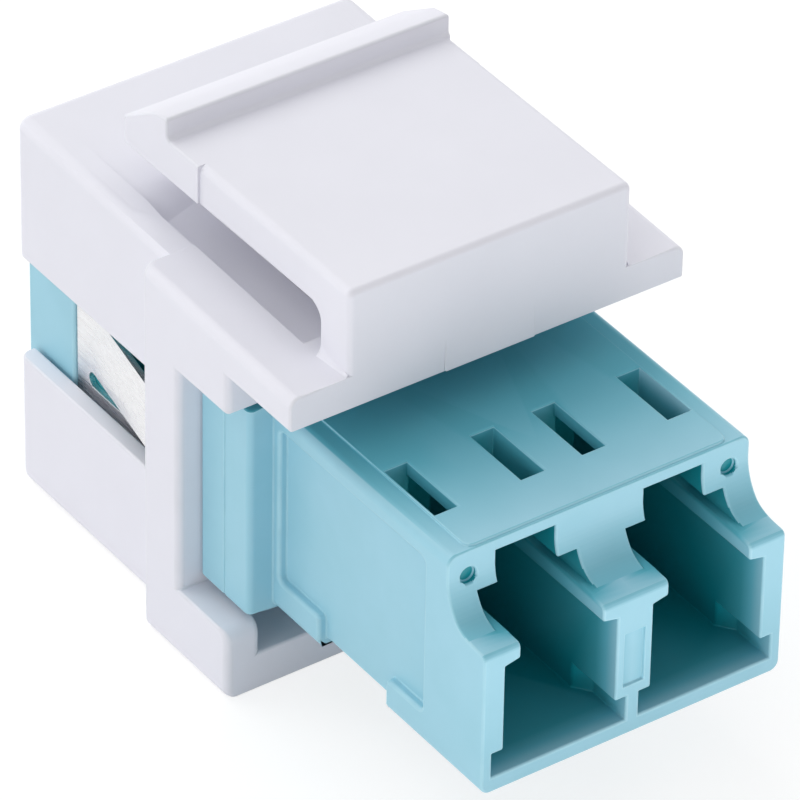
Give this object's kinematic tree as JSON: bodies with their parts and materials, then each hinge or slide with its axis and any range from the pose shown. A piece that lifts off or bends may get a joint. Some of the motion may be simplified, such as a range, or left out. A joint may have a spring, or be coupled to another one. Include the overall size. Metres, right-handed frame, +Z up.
{
  "type": "fibre keystone adapter",
  "caption": "Snap-in keystone holder carrying a duplex fibre adapter, with plug ports at both ends and a springy release latch on top.",
  "frame": {"origin": "in the plane of the flange's front face, where the panel's back rests, on the adapter's middle line", "axes": "+Y towards the in-wall ports, -Y towards the front of the panel, +Z up to the release latch, X across the ports"},
  "size_m": [0.0166, 0.0285, 0.0201],
  "materials": {
    "white_plastic": "fine satin moulding",
    "aqua_plastic": "smooth moulding, slightly translucent",
    "spring_steel": "bright rolled sheet",
    "sleeve_bronze": "bright drawn tube"
  },
  "bodies": {
    "holder": {"keystone_frame": "white_plastic", "adapter_rear_half": "aqua_plastic", "adapter_front_half": "aqua_plastic", "retaining_clip": "spring_steel", "split_sleeve_left": "sleeve_bronze", "split_sleeve_right": "sleeve_bronze"},
    "latch": {"release_latch": "white_plastic"}
  },
  "joints": [
    {"name": "latch_press", "type": "hinge", "parent": "holder", "child": "latch", "pos_m": [0, 0.00839, 0.00889], "axis": [1, 0, 0], "range_deg": [0, 6.5], "stiffness_Nm_per_rad": 0.01}
  ]
}
